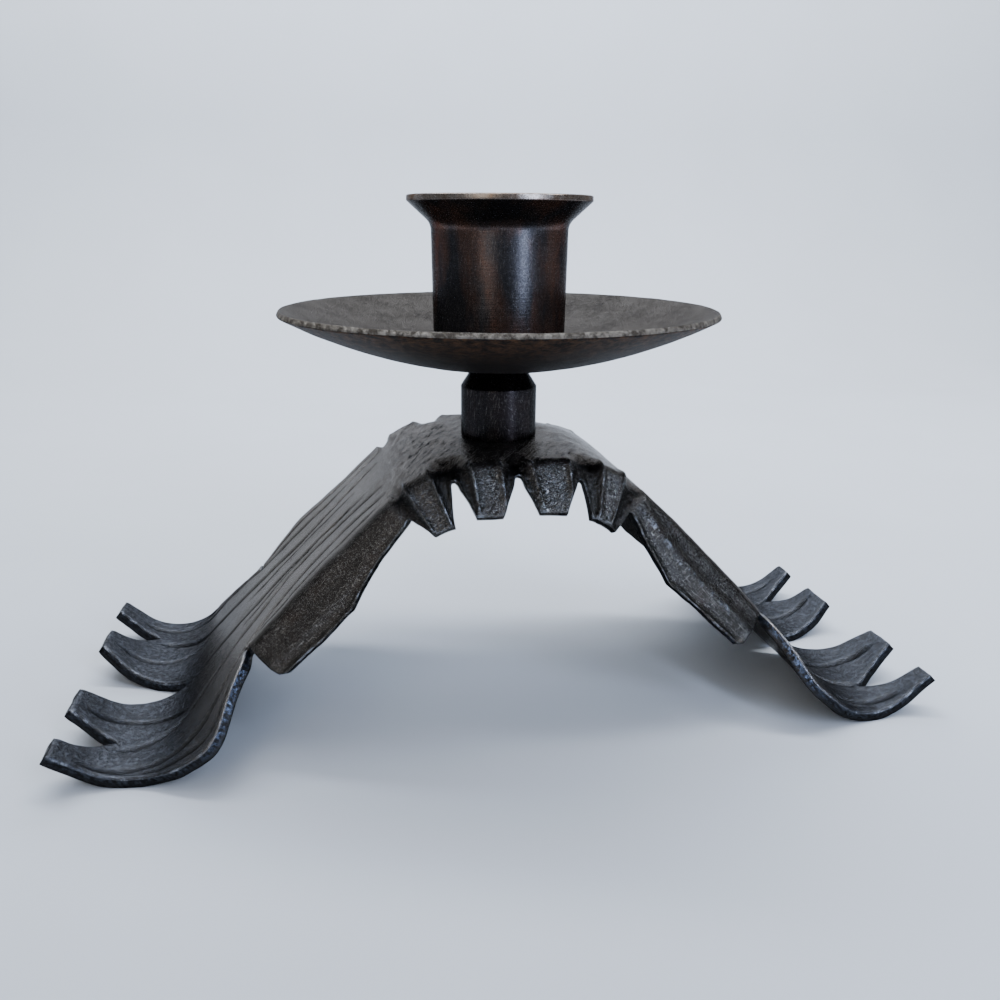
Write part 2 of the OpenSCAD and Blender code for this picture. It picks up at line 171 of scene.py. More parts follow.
# The feet, by quarter: how far along their toes end and the places across of the outer toe's two
# corners and the inner toe's two corners, the root of the split between the toes, the outer edge
# from the ankle to the outer toe, and how far across the fork's root lies.
FEET = {
    (-1, -1): {"end": 110.2, "corners": (33.5, 27.4, 17.4, 9.2), "split": (99.9, 20.6),
               "heel": [(67.4, 26.4), (72.5, 31.4), (77.5, 34.8), (81.5, 35.7), (86.5, 34.9),
                        (93.5, 32.6), (102.5, 32.0)], "fork": 1.2},
    (-1, 1): {"end": 110.2, "corners": (34.7, 28.2, 18.6, 10.2), "split": (99.5, 25.2),
              "heel": [(67.4, 22.6), (71.0, 24.6), (76.0, 27.7), (81.0, 30.7), (86.5, 33.3),
                       (93.5, 34.4), (102.5, 34.6)], "fork": -1.2},
    (1, -1): {"end": 110.3, "corners": (32.6, 28.2, 17.7, 10.3), "split": (98.2, 23.2),
              "heel": [(67.4, 26.6), (72.5, 31.6), (77.5, 34.9), (81.5, 35.8), (88.0, 35.0),
                       (97.4, 33.6), (104.5, 32.6)], "fork": 0.0},
    (1, 1): {"end": 109.0, "corners": (33.3, 28.3, 17.3, 8.0), "split": (98.5, 23.1),
             "heel": [(67.4, 24.6), (71.0, 28.0), (76.0, 31.8), (81.0, 34.2), (86.5, 34.9),
                      (93.5, 34.4), (102.5, 33.9)], "fork": 0.0},
}
FORK_ROOT = 87.1

# The tabs' creases, as (where the tab begins, first crease at its root and tip, second crease at
# its root and tip, where the tab ends), along the front and the back edge.
FRONT_FACETS = [
    (-26.0, -22.6, -22.9, -17.4, -17.3, -13.25), (-13.25, -9.4, -8.5, -3.8, -3.3, -0.3),
    (-0.3, 1.8, 3.8, 9.6, 9.9, 12.35), (12.35, 16.4, 18.0, 21.6, 22.4, 26.6)]
BACK_FACETS = [
    (-26.0, -22.5, -22.8, -16.4, -17.0, -13.0), (-13.0, -9.4, -8.8, -3.6, -4.0, 0.0),
    (0.0, 3.6, 4.0, 9.4, 8.8, 13.0), (13.0, 16.4, 17.0, 22.5, 22.8, 26.0)]


def smooth_path(points, step):
    """Points along a smooth curve through the given ones, about step apart."""
    p = np.array(points, float)
    p = np.vstack([2 * p[0] - p[1], p, 2 * p[-1] - p[-2]])
    out = []
    for i in range(1, len(p) - 2):
        n = max(2, int(np.linalg.norm(p[i + 1] - p[i]) / step))
        t = np.linspace(0, 1, n, endpoint=False)[:, None]
        out.append(0.5 * (2 * p[i] + (p[i + 1] - p[i - 1]) * t
                          + (2 * p[i - 1] - 5 * p[i] + 4 * p[i + 1] - p[i + 2]) * t ** 2
                          + (3 * p[i] - p[i - 1] - 3 * p[i + 1] + p[i + 2]) * t ** 3))
    return np.vstack(out + [p[-2:-1]])


def straight_path(points, step):
    """Points along straight runs between the given ones, about step apart."""
    out = []
    for a, b in zip(points[:-1], points[1:]):
        a, b = np.array(a, float), np.array(b, float)
        n = max(1, int(round(np.linalg.norm(b - a) / step)))
        out.append(a + (b - a) * np.linspace(0, 1, n, endpoint=False)[:, None])
    return np.vstack(out + [np.array([points[-1]], float)])


def foot_edge(foot, step):
    """The edge of one foot, from the ankle round both toes to the fork."""
    end = foot["end"]
    outer_a, outer_b, inner_a, inner_b = foot["corners"]
    split_s, split_w = foot["split"]
    fork = foot["fork"]
    ankle = S_ANKLE + SLIT_W + 0.1
    return np.vstack([
        straight_path([(ankle, 20.6), (ankle, 24.0)], step),
        smooth_path([(ankle, 24.0)] + foot["heel"] + [(end, outer_a)], step)[1:],
        straight_path([(end, outer_a), (end + 0.05, outer_b)], step)[1:],
        smooth_path([(end, outer_b), ((end + split_s) / 2, 0.7 * outer_b + 0.3 * split_w),
                     (split_s + 0.7, split_w + 0.6), (split_s, split_w),
                     (split_s + 0.7, split_w - 0.6),
                     ((end + split_s) / 2, 0.7 * inner_a + 0.3 * split_w), (end, inner_a)],
                    step)[1:],
        straight_path([(end, inner_a), (end, inner_b)], step)[1:],
        smooth_path([(end, inner_b), (103.5, 0.74 * inner_b + 0.1 * fork),
                     (96.5, 0.45 * inner_b + 0.5 * fork), (91.0, 0.2 * inner_b + 0.9 * fork),
                     (FORK_ROOT + 0.7, 0.6 + fork), (FORK_ROOT, fork)], step)[1:],
    ])


def blank_edge(step, rng):
    """The whole edge of the blank as one closed loop of (s, w) points, a little uneven."""
    loop = []
    for sx, sy, back in ((1, 1, True), (-1, 1, False), (-1, -1, True), (1, -1, False)):
        folded = straight_path(QUARTERS[(sx, sy)], step)
        quarter = np.vstack([folded, foot_edge(FEET[(sx, sy)], step)])
        if back:
            quarter = quarter[::-1]
        loop.append((quarter * [sx, sy])[:-1 if not back else None])
    loop = np.vstack(loop)
    keep = np.linalg.norm(loop - np.roll(loop, 1, axis=0), axis=1) > 0.05
    loop = loop[keep]
    uneven = rng.normal(0, 1, (len(loop), 2))
    for _ in range(3):
        uneven = (np.roll(uneven, 1, axis=0) + 2 * uneven + np.roll(uneven, -1, axis=0)) / 4
    return loop + 0.08 * uneven


def inward(loop):
    """Unit vectors that point from a closed loop into the blank."""
    run = np.roll(loop, -1, axis=0) - np.roll(loop, 1, axis=0)
    run /= np.linalg.norm(run, axis=1)[:, None] + 1e-9
    normal = np.stack([-run[:, 1], run[:, 0]], axis=1)
    area = np.sum(loop[:, 0] * np.roll(loop[:, 1], -1) - np.roll(loop[:, 0], -1) * loop[:, 1])
    return normal if area > 0 else -normal


def distance_to(points, path, closed=False):
    """Least distance from each point to a path of straight runs."""
    ends = np.roll(path, -1, axis=0) if closed else path[1:]
    starts = path if closed else path[:-1]
    best = np.full(len(points), 1e9)
    for a, b in zip(starts, ends):
        d = b - a
        near = np.abs(points[:, 0] - a[0]) < 6 + np.abs(d[0])
        if not near.any():
            continue
        q = points[near] - a
        t = np.clip(q @ d / (d @ d + 1e-12), 0, 1)[:, None]
        best[near] = np.minimum(best[near], np.linalg.norm(q - t * d, axis=1))
    return best


def inside(points, loop):
    """Whether each point lies inside a closed loop."""
    x, y = points[:, 0], points[:, 1]
    found = np.zeros(len(points), bool)
    for (x0, y0), (x1, y1) in zip(loop, np.roll(loop, -1, axis=0)):
        if y0 == y1:
            continue
        crosses = ((y0 > y) != (y1 > y)) & (x < (x1 - x0) * (y - y0) / (y1 - y0) + x0)
        found ^= crosses
    return found


def thinned(groups):
    """Points of several groups, each with its own least distance, first groups first."""
    cell = 0.5
    grid, kept = {}, []
    for points, gap in groups:
        reach = int(math.ceil(gap / cell))
        for x, y in points:
            i, j = int(math.floor(x / cell)), int(math.floor(y / cell))
            if gap and any(
                    (x - u) ** 2 + (y - v) ** 2 < gap * gap
                    for a in range(i - reach, i + reach + 1)
                    for b in range(j - reach, j + reach + 1)
                    for u, v in grid.get((a, b), ())):
                continue
            grid.setdefault((i, j), []).append((x, y))
            kept.append((x, y))
    return np.array(kept)


def grooves():
    """The chiselled grooves, as lists of (path, depth, half width) on the blank.

    Each leg has one along its middle to the fork, and two on each half that run out into a foot:
    one ends at the split between the toes and one follows the outer toe. A short one lies on each
    inner toe, and a few short second strokes lie beside the long ones."""
    half = [
        ([(28, 9.0), (40, 7.8), (52, 7.1), (61, 9.5), (69.5, 12.2), (83, 17.2), (89, 19.2),
          (95, 21.8), (98.6, 23.0)], 0.70, 0.56),
        ([(27, 15.6), (40, 14.2), (53, 15.0), (62, 17.6), (70, 22.4), (78, 26.6), (86, 28.8),
          (95, 29.6), (104, 30.4)], 0.62, 0.50),
        ([(86, 15.2), (90, 13.8), (94, 13.1), (98.5, 13.0), (103, 13.6), (107.5, 14.3)], 0.65, 0.5),
        ([(35, 3.3), (46, 3.9), (57, 4.8), (68, 6.1)], 0.38, 0.34),
        ([(29, 19.2), (40, 18.9), (52, 19.2), (63.5, 19.9)], 0.42, 0.36),
        ([(70.5, 26.6), (75, 30.2), (81, 32.2), (88, 31.8), (96, 30.9)], 0.45, 0.38),
    ]
    lines = []
    for sx in (-1, 1):
        middle = -1.0 if sx < 0 else 0.0
        lines.append(([(sx * 33, -4.6), (sx * 48, -3.2), (sx * 67, -2.0),
                       (sx * (FORK_ROOT - 0.6), middle)], 0.6, 0.48))
        for sy in (-1, 1):
            lines += [([(sx * s, sy * w) for s, w in path], d, r) for path, d, r in half]
    return [(smooth_path(path, 0.8), depth, width) for path, depth, width in lines]


def facets(points):
    """Height of the tabs' and flaps' chisel-cut facets, how dark each point is in hollows and with
    painted shade on a tab's sloping sides, and how far it is on a bright line of painted highlight,
    which on a tab's creases is partly wear.

    A tab's middle stands between two raised creases, and its sides fall away from them to the
    slits. The creases run up over the fold on to the crown. A flap's lower part hangs steeper."""
    s, w = points[:, 0], np.abs(points[:, 1])
    height, hollow_and_side_shade, crest_highlight = np.zeros((3, len(points)))
    up_the_fold = np.clip((w - 15.0) / 6.0, 0, 1)
    up_the_fold = up_the_fold ** 2 * (3 - 2 * up_the_fold)
    down = np.clip((w - 21) / 12, 0, 1)
    for side, rows in ((-1, FRONT_FACETS), (1, BACK_FACETS)):
        for start, root_a, tip_a, root_b, tip_b, end in rows:
            here = (s >= start) & (s < end) & (side * points[:, 1] > 0)
            a, b = root_a + (tip_a - root_a) * down, root_b + (tip_b - root_b) * down
            beyond = np.maximum(0, np.maximum(a - s, s - b))
            crease = np.minimum(np.abs(s - a), np.abs(s - b))
            rib = 0.55 if side < 0 else 0.15
            fall = -np.minimum(0.7, 0.30 * beyond) + rib * np.exp(-(crease / 0.5) ** 2)
            root = np.clip((beyond - 1.0) / 1.0, 0, 1) * np.exp(-((w - 22.0) / 2.4) ** 2)
            height = np.where(here, fall * up_the_fold - 0.7 * root, height)
            # Painted shade on the tab's sides beyond its creases.
            side_shade = 0.6 * np.clip((beyond - 0.4) / 0.4, 0, 1) * np.clip((w - 21) / 2, 0, 1)
            hollow_and_side_shade = np.where(here, np.maximum(root, side_shade), hollow_and_side_shade)
            # Bright lines on the tab's creases: partly wear, partly painted highlight.
            wear_and_glint = np.exp(-(crease / 0.32) ** 2) * np.clip((w - 19) / 3, 0, 1)
            crest_highlight = np.where(here, wear_and_glint, crest_highlight)
        along = np.abs(s)
        flap = (along > 27) & (along < 66) & (side * points[:, 1] > 0)
        crease_w = np.interp(along, [27, 36, 46, 56, 66], [25.2, 27.4, 28.8, 28.6, 27.6])
        start_in = np.clip((along - 27) / 5, 0, 1) * np.clip((66 - along) / 2.5, 0, 1)
        on_right = s * side < 0
        steep = np.where(on_right, 0.40, 0.22)
        past = np.maximum(0, w - crease_w)
        ridge = np.where(on_right, 1.0, 0.4) * (
            0.30 * np.exp(-((w - crease_w) / 0.7) ** 2)
            - 0.22 * np.exp(-((w - crease_w + 2.6) / 1.0) ** 2)
            - 0.22 * np.exp(-((w - crease_w - 1.6) / 0.6) ** 2))
        height = np.where(flap, (ridge - steep * past) * start_in, height)
        # Painted highlight: a bright line along the right flap's crease only.
        crest_highlight = np.where(flap & on_right, np.exp(-((w - crease_w) / 0.4) ** 2) * start_in, crest_highlight)
    return height, hollow_and_side_shade, crest_highlight


def relief(points, lines):
    """Height of the chiselled relief at points of the blank, how dark each is in grooves and hollows
    and with painted shade on the tabs' sides, and how far it is on a bright line of painted
    highlight."""
    height, in_groove, crest_highlight = facets(points)
    for path, depth, half in lines:
        dist = distance_to(points, path)
        end = np.minimum(np.linalg.norm(points - path[0], axis=1),
                         np.linalg.norm(points - path[-1], axis=1))
        fade = np.clip(end / 3.0, 0.25, 1)
        cut = np.exp(-(dist / half) ** 2) * fade
        shoulder = np.exp(-(dist / 1.7) ** 2) * fade
        lip = np.exp(-((dist - 2.1 * half) / (0.6 * half)) ** 2) * fade
        height += -depth * cut - 0.10 * shoulder + 0.05 * lip
        in_groove = np.maximum(in_groove, cut)
    return height, in_groove, crest_highlight


def offset_rows(loop, distances, uneven_ok):
    """Rows of points at set distances inside a loop, where the loop leaves room for them."""
    normal = inward(loop)
    rows = []
    for d in distances:
        row = loop + normal * d
        ok = distance_to(row, loop, closed=True) > uneven_ok * d
        rows.append(row[ok & inside(row, loop)])
    return np.vstack(rows)


def filled(loop, hole, inner):
    """Triangles that fill the blank between its edge and its hole, with inner points."""
    points = np.vstack([loop, hole, inner])
    n, m = len(loop), len(hole)
    edges = [(i, (i + 1) % n) for i in range(n)] + [(n + i, n + (i + 1) % m) for i in range(m)]
    verts, _, faces, _, _, _ = delaunay_2d_cdt(
        [Vector(p) for p in points], edges, [], 0, 1e-6)
    verts = np.array([tuple(v) for v in verts])
    faces = np.array([f for f in faces if len(f) == 3])
    middle = verts[faces].mean(axis=1)
    faces = faces[inside(middle, loop) & ~inside(middle, hole)]
    return verts, faces


def honeycomb(step, lo, hi):
    """A hexagonal grid of points over a box."""
    rows = np.arange(lo[1], hi[1], step * 0.866)
    out = []
    for i, w in enumerate(rows):
        s = np.arange(lo[0] + (i % 2) * step / 2, hi[0], step)
        out.append(np.stack([s, np.full_like(s, w)], axis=1))
    return np.vstack(out)


def fold_rows(step, along):
    """Rows of points along the folds, close enough to keep the bend round."""
    rows = []
    for side in (-1, 1):
        for w in np.arange(FOLD_Y - 0.5, FOLD_Y + FOLD_OUT_R * FOLD_ANGLE + 1.0, step):
            s = np.arange(-S_ANKLE, S_ANKLE, along)
            rows.append(np.stack([s, np.full_like(s, side * w)], axis=1))
    return np.vstack(rows)


def plate_mesh():
    """The forged plate as one closed mesh: a top face with its relief, walls and an underside."""
    rng = np.random.default_rng(41)
    loop = blank_edge(0.7, rng)
    turn = np.linspace(0, 2 * math.pi, 40, endpoint=False)
    hole = HOLE_R * np.stack([np.cos(turn), np.sin(turn)], axis=1)
    lines = grooves()
    box = (loop.min(axis=0), loop.max(axis=0))
    room = 0.9

    def usable(points, clear):
        ok = inside(points, loop) & (np.linalg.norm(points, axis=1) > HOLE_R + 0.5)
        points = points[ok]
        return points[distance_to(points, loop, closed=True) > clear]

    rows = offset_rows(loop, (0.12, 0.32, 0.62), 0.85)
    beside = []
    for path, _, half in lines:
        run = np.gradient(path, axis=0)
        run /= np.linalg.norm(run, axis=1)[:, None]
        across = np.stack([-run[:, 1], run[:, 0]], axis=1)
        for k in (0, -0.55, 0.55, -1.2, 1.2, -2.1, 2.1, -3.0, 3.0):
            beside.append(path + across * k * half)
    for side, tabs in ((-1, FRONT_FACETS), (1, BACK_FACETS)):
        for _, root_a, tip_a, root_b, tip_b, _ in tabs:
            for root, tip in ((root_a, tip_a), (root_b, tip_b)):
                path = straight_path([(root, side * 15), (root, side * 21), (tip, side * 33)], 0.7)
                beside += [path + [k, 0] for k in (0, -0.35, 0.35, -0.8, 0.8)]
    top_inner = thinned([
        (rows, 0.05),
        (usable(np.vstack(beside), 0.45), 0.17),
        (usable(fold_rows(0.5, 1.0), room), 0.4),
        (usable(honeycomb(0.95, *box), room), 0.6),
    ])
    low_inner = thinned([
        (offset_rows(loop, (0.2, 0.5), 0.85), 0.1),
        (usable(fold_rows(0.5, 1.3), room), 0.4),
        (usable(honeycomb(1.6, *box), room), 0.9),
    ])
    top, top_faces = filled(loop, hole, top_inner)
    low, low_faces = filled(loop, hole, low_inner)
    n, m = len(loop), len(hole)

    edge_r = 0.32
    near = np.minimum(distance_to(top, loop, closed=True), 1.5)
    round_off = edge_r - np.sqrt(np.maximum(0, edge_r ** 2 - np.maximum(0, edge_r - near) ** 2))
    height, in_groove, crest_highlight = relief(top, lines)
    rim = np.exp(-((near - 0.7) / 0.4) ** 2) * (np.abs(top[:, 0]) > 72)
    top_h = height * np.clip(near / 0.8, 0.35, 1) - round_off + 0.16 * rim
    near_low = np.minimum(distance_to(low, loop, closed=True), 1.5)
    low_edge_r = 0.2
    low_round = low_edge_r - np.sqrt(
        np.maximum(0, low_edge_r ** 2 - np.maximum(0, low_edge_r - near_low) ** 2))
    low_h = -PLATE_T + low_round
    pts = [bent(top[:, 0], top[:, 1], top_h)]
    # Bright edges and creases carry wear and painted highlight; the black of grooves and hollows also
    # carries painted shade on the tabs' sides.
    facts = {"arris_wear_and_highlight": [np.maximum(np.exp(-(near / 0.2) ** 2), crest_highlight)], "groove": [in_groove],
             "wall": [np.zeros(len(top))], "under": [np.zeros(len(top))]}
    spots = [top]
    rings = (0.12, 0.5)
    borders = [(loop, np.arange(n), 0), (hole, n + np.arange(m), n)]
    ring_ids = {}
    count = len(top)
    for which, (path, ids, _) in enumerate(borders):
        for k, share in enumerate(rings):
            h = top_h[ids] + (low_h[ids] - top_h[ids]) * share
            pushed = path
            if which == 0:
                pushed = path + inward(path) * rng.normal(0.0, 0.05, (len(path), 1))
            pts.append(bent(pushed[:, 0], pushed[:, 1], h))
            ring_ids[(which, k)] = count + np.arange(len(path))
            count += len(path)
            facts["arris_wear_and_highlight"].append(np.zeros(len(path)))
            facts["groove"].append(np.zeros(len(path)))
            facts["wall"].append(np.ones(len(path)))
            facts["under"].append(np.full(len(path), 0.2 if k == 0 else 0.6))
            spots.append(path)
    low_start = count
    pts.append(bent(low[:, 0], low[:, 1], low_h))
    facts["arris_wear_and_highlight"].append(np.zeros(len(low)))
    facts["groove"].append(np.zeros(len(low)))
    facts["wall"].append(np.zeros(len(low)))
    facts["under"].append(np.ones(len(low)))
    spots.append(low)
    for key, values in places(np.vstack(spots)).items():
        facts[key] = [values]
    verts = np.vstack(pts) * MM
    faces = [tuple(f) for f in top_faces] + [tuple(f[::-1] + low_start) for f in low_faces]
    for which, (path, ids, _) in enumerate(borders):
        stack = [ids] + [ring_ids[(which, k)] for k in range(len(rings))] + [ids + low_start]
        for upper, lower in zip(stack[:-1], stack[1:]):
            for i in range(len(path)):
                j = (i + 1) % len(path)
                faces.append((upper[i], lower[i], lower[j], upper[j]))
    return verts, faces, {k: np.concatenate(v) for k, v in facts.items()}


def places(points):
    """How far each point of the blank lies on a tab or flap, on the crown, on a foot, and near a
    heel's outer side, where the cut walls get painted glints.
    """
    along, across = np.abs(points[:, 0]), np.abs(points[:, 1])
    folded = along < S_ANKLE + SLIT_W / 2
    return {
        "skirt": np.where(folded, np.clip((across - FOLD_Y + 0.6) / 2.6, 0, 1), 0),
        "crown": np.clip((34 - along) / 14, 0, 1),
        "foot": np.clip((along - 62) / 26, 0, 1),
        # Near the heel's outer side, where the cut walls get painted glints.
        "heel": np.exp(-((along - 71) / 7.0) ** 2) * (across > 21),
    }


def new_mesh(name, verts, faces, facts=None):
    """A mesh object with smooth faces that all point outwards."""
    mesh = bpy.data.meshes.new(name)
    mesh.from_pydata([tuple(v) for v in verts], [], [tuple(int(i) for i in f) for f in faces])
    for key, values in (facts or {}).items():
        attribute = mesh.attributes.new(key, "FLOAT", "POINT")
        attribute.data.foreach_set("value", np.asarray(values, np.float32))
    mesh.update()
    if signed_volume(mesh) < 0:
        mesh.flip_normals()
    mesh.shade_smooth()
    piece = bpy.data.objects.new(name, mesh)
    bpy.context.scene.collection.objects.link(piece)
    return piece


def signed_volume(mesh):
    """Volume inside a closed mesh, negative when its faces point inwards."""
    mesh.calc_loop_triangles()
    co = np.empty(len(mesh.vertices) * 3, np.float32)
    mesh.vertices.foreach_get("co", co)
    tri = np.empty(len(mesh.loop_triangles) * 3, np.int32)
    mesh.loop_triangles.foreach_get("vertices", tri)
    a, b, c = co.reshape(-1, 3)[tri.reshape(-1, 3)].transpose(1, 0, 2)
    return float(np.einsum("ij,ij->i", a, np.cross(b, c)).sum() / 6)


# Node trees

def add_node(tree, kind, links=None, **settings):
    """Adds a node. links gives an input's name or number what it is fed with: a socket or a value."""
    node = tree.nodes.new(kind)
    for key, value in settings.items():
        setattr(node, key, value)
    for key, source in (links or {}).items():
        socket = node.inputs[key]
        if isinstance(source, bpy.types.NodeSocket):
            tree.links.new(source, socket)
        else:
            socket.default_value = source
    return node


def new_geometry_tree(name, inputs):
    """An empty Geometry Nodes tree with named number inputs, and its way in."""
    tree = bpy.data.node_groups.new(name, "GeometryNodeTree")
    face = tree.interface
    face.new_socket("Geometry", in_out="INPUT", socket_type="NodeSocketGeometry")
    for key, (kind, value) in inputs.items():
        socket = face.new_socket(key, in_out="INPUT", socket_type=kind)
        if value is not None:
            socket.default_value = value
    face.new_socket("Geometry", in_out="OUTPUT", socket_type="NodeSocketGeometry")
    return tree, tree.nodes.new("NodeGroupInput")


def end_tree(tree, geometry, way_in):
    """Ends a tree in real geometry that wears the material given at its input."""
    real = add_node(tree, "GeometryNodeRealizeInstances", {"Geometry": geometry})
    dressed = add_node(tree, "GeometryNodeSetMaterial",
                       {"Geometry": real.outputs[0], "Material": way_in.outputs["Material"]})
    add_node(tree, "NodeGroupOutput", {"Geometry": dressed.outputs[0]})


def run_tree(piece, tree, values):
    """Runs a tree on a piece, and gives a new piece with the result as its own plain mesh."""
    modifier = piece.modifiers.new(tree.name, "NODES")
    modifier.node_group = tree
    for item in tree.interface.items_tree:
        if item.item_type == "SOCKET" and item.in_out == "INPUT" and item.name in values:
            modifier[item.identifier] = values[item.name]
    graph = bpy.context.evaluated_depsgraph_get()
    mesh = bpy.data.meshes.new_from_object(piece.evaluated_get(graph))
    name = piece.name
    old = piece.data
    piece.modifiers.remove(modifier)
    bpy.data.objects.remove(piece)
    bpy.data.meshes.remove(old)
    mesh.name = name
    mesh.materials.clear()
    mesh.materials.append(values["Material"])
    if signed_volume(mesh) < 0:
        mesh.flip_normals()
    result = bpy.data.objects.new(name, mesh)
    bpy.context.scene.collection.objects.link(result)
    return result


def hammer_tree():
    """Lifts and sinks a surface by a hammer's blows and by the finer pits of forge scale."""
    tree, way_in = new_geometry_tree("hammered surface", {
        "Blow Depth": ("NodeSocketFloat", 0.1 * MM),
        "Blow Size": ("NodeSocketFloat", 6 * MM),
        "Pit Depth": ("NodeSocketFloat", 0.05 * MM),
        "Pit Size": ("NodeSocketFloat", 1.6 * MM),
        "Seed": ("NodeSocketFloat", 0.0),
        "Material": ("NodeSocketMaterial", None)})
    total = None
    for depth, size, shift in (("Blow Depth", "Blow Size", 0.0), ("Pit Depth", "Pit Size", 5.0)):
        scale = add_node(tree, "ShaderNodeMath",
                         {0: 1.0, 1: way_in.outputs[size]}, operation="DIVIDE")
        seed = add_node(tree, "ShaderNodeMath",
                        {0: way_in.outputs["Seed"], 1: shift}, operation="ADD")
        noise = add_node(tree, "ShaderNodeTexNoise",
                         {"W": seed.outputs[0], "Scale": scale.outputs[0], "Detail": 1.5},
                         noise_dimensions="4D")
        level = add_node(tree, "ShaderNodeMath",
                         {0: noise.outputs[0], 1: 0.5}, operation="SUBTRACT")
        part = add_node(tree, "ShaderNodeMath",
                        {0: level.outputs[0], 1: way_in.outputs[depth]}, operation="MULTIPLY")
        if total is None:
            total = part.outputs[0]
        else:
            total = add_node(tree, "ShaderNodeMath",
                             {0: total, 1: part.outputs[0]}, operation="ADD").outputs[0]
    normal = add_node(tree, "GeometryNodeInputNormal")
    offset = add_node(tree, "ShaderNodeVectorMath",
                      {0: normal.outputs[0], "Scale": total}, operation="SCALE")
    moved = add_node(tree, "GeometryNodeSetPosition",
                     {"Geometry": way_in.outputs["Geometry"], "Offset": offset.outputs[0]})
    end_tree(tree, moved.outputs[0], way_in)
    return tree


def lathe_tree():
    """Turns a profile about the Z axis. The profile is a row of points, and each becomes a ring."""
    tree, way_in = new_geometry_tree("turned form", {
        "Points": ("NodeSocketInt", 10),
        "Rings": ("NodeSocketInt", 128),
        "Dent Depth": ("NodeSocketFloat", 0.0),
        "Dent Size": ("NodeSocketFloat", 6 * MM),
        "Seed": ("NodeSocketFloat", 0.0),
        "Material": ("NodeSocketMaterial", None)})
    around = add_node(tree, "ShaderNodeMath",
                      {0: way_in.outputs["Rings"], 1: 1.0}, operation="ADD")
    grid = add_node(tree, "GeometryNodeMeshGrid",
                    {"Size X": 1.0, "Size Y": 1.0, "Vertices X": way_in.outputs["Points"],
                     "Vertices Y": around.outputs[0]})
    index = add_node(tree, "GeometryNodeInputIndex")
    column = add_node(tree, "ShaderNodeMath",
                      {0: index.outputs[0], 1: around.outputs[0]}, operation="DIVIDE")
    column = add_node(tree, "ShaderNodeMath", {0: column.outputs[0]}, operation="FLOOR")
    row = add_node(tree, "ShaderNodeMath",
                   {0: index.outputs[0], 1: around.outputs[0]}, operation="MODULO")
    angle = add_node(tree, "ShaderNodeMath",
                     {0: row.outputs[0], 1: way_in.outputs["Rings"]}, operation="DIVIDE")
    angle = add_node(tree, "ShaderNodeMath",
                     {0: angle.outputs[0], 1: 2 * math.pi}, operation="MULTIPLY")
    place = add_node(tree, "GeometryNodeInputPosition")
    profile = add_node(tree, "GeometryNodeSampleIndex",
                       {"Geometry": way_in.outputs["Geometry"], "Value": place.outputs[0],
                        "Index": column.outputs[0]}, data_type="FLOAT_VECTOR")
    turned = add_node(tree, "ShaderNodeVectorRotate",
                      {"Vector": profile.outputs[0], "Angle": angle.outputs[0]},
                      rotation_type="Z_AXIS")
    shaped = add_node(tree, "GeometryNodeSetPosition",
                      {"Geometry": grid.outputs[0], "Position": turned.outputs[0]})
    closed = add_node(tree, "GeometryNodeMergeByDistance",
                      {"Geometry": shaped.outputs[0], "Distance": 0.002 * MM})
    scale = add_node(tree, "ShaderNodeMath",
                     {0: 1.0, 1: way_in.outputs["Dent Size"]}, operation="DIVIDE")
    noise = add_node(tree, "ShaderNodeTexVoronoi",
                     {"W": way_in.outputs["Seed"], "Scale": scale.outputs[0],
                      "Smoothness": 0.6}, voronoi_dimensions="4D", feature="SMOOTH_F1")
    level = add_node(tree, "ShaderNodeMath",
                     {0: noise.outputs["Distance"], 1: 0.5}, operation="SUBTRACT")
    depth = add_node(tree, "ShaderNodeMath",
                     {0: level.outputs[0], 1: way_in.outputs["Dent Depth"]}, operation="MULTIPLY")
    normal = add_node(tree, "GeometryNodeInputNormal")
    offset = add_node(tree, "ShaderNodeVectorMath",
                      {0: normal.outputs[0], "Scale": depth.outputs[0]}, operation="SCALE")
    dented = add_node(tree, "GeometryNodeSetPosition",
                      {"Geometry": closed.outputs[0], "Offset": offset.outputs[0]})
    smooth = add_node(tree, "GeometryNodeSetShadeSmooth", {"Geometry": dented.outputs[0]})
    end_tree(tree, smooth.outputs[0], way_in)
    return tree


# Profiles of the turned pieces, as [radius, height] loops.

def rounded(corners, radii, steps=5):
    """A closed loop of corners with each corner rounded to its own radius."""
    out = []
    n = len(corners)
    for i in range(n):
        p = np.array(corners[i], float)
        r = radii[i]
        if r <= 0:
            out.append(p)
            continue
        a, b = np.array(corners[i - 1], float) - p, np.array(corners[(i + 1) % n], float) - p
        la, lb = np.linalg.norm(a), np.linalg.norm(b)
        a, b = a / la, b / lb
        half = math.acos(max(-1, min(1, a @ b))) / 2
        reach = min(r / math.tan(half), 0.45 * la, 0.45 * lb)
        r = reach * math.tan(half)
        middle = p + (a + b) / np.linalg.norm(a + b) * (r / math.sin(half))
        first, last = p + a * reach - middle, p + b * reach - middle
        t0, t1 = math.atan2(first[1], first[0]), math.atan2(last[1], last[0])
        turn = (t1 - t0 + math.pi) % (2 * math.pi) - math.pi
        for k in range(steps + 1):
            t = t0 + turn * k / steps
            out.append(middle + r * np.array([math.cos(t), math.sin(t)]))
    return out


def refined(loop, step):
    """The same closed loop with its long runs split, so that dents and lines have points."""
    out = []
    for a, b in zip(loop, loop[1:] + loop[:1]):
        n = max(1, int(math.ceil(np.linalg.norm(b - a) / step)))
        out += [a + (b - a) * k / n for k in range(n)]
    return out


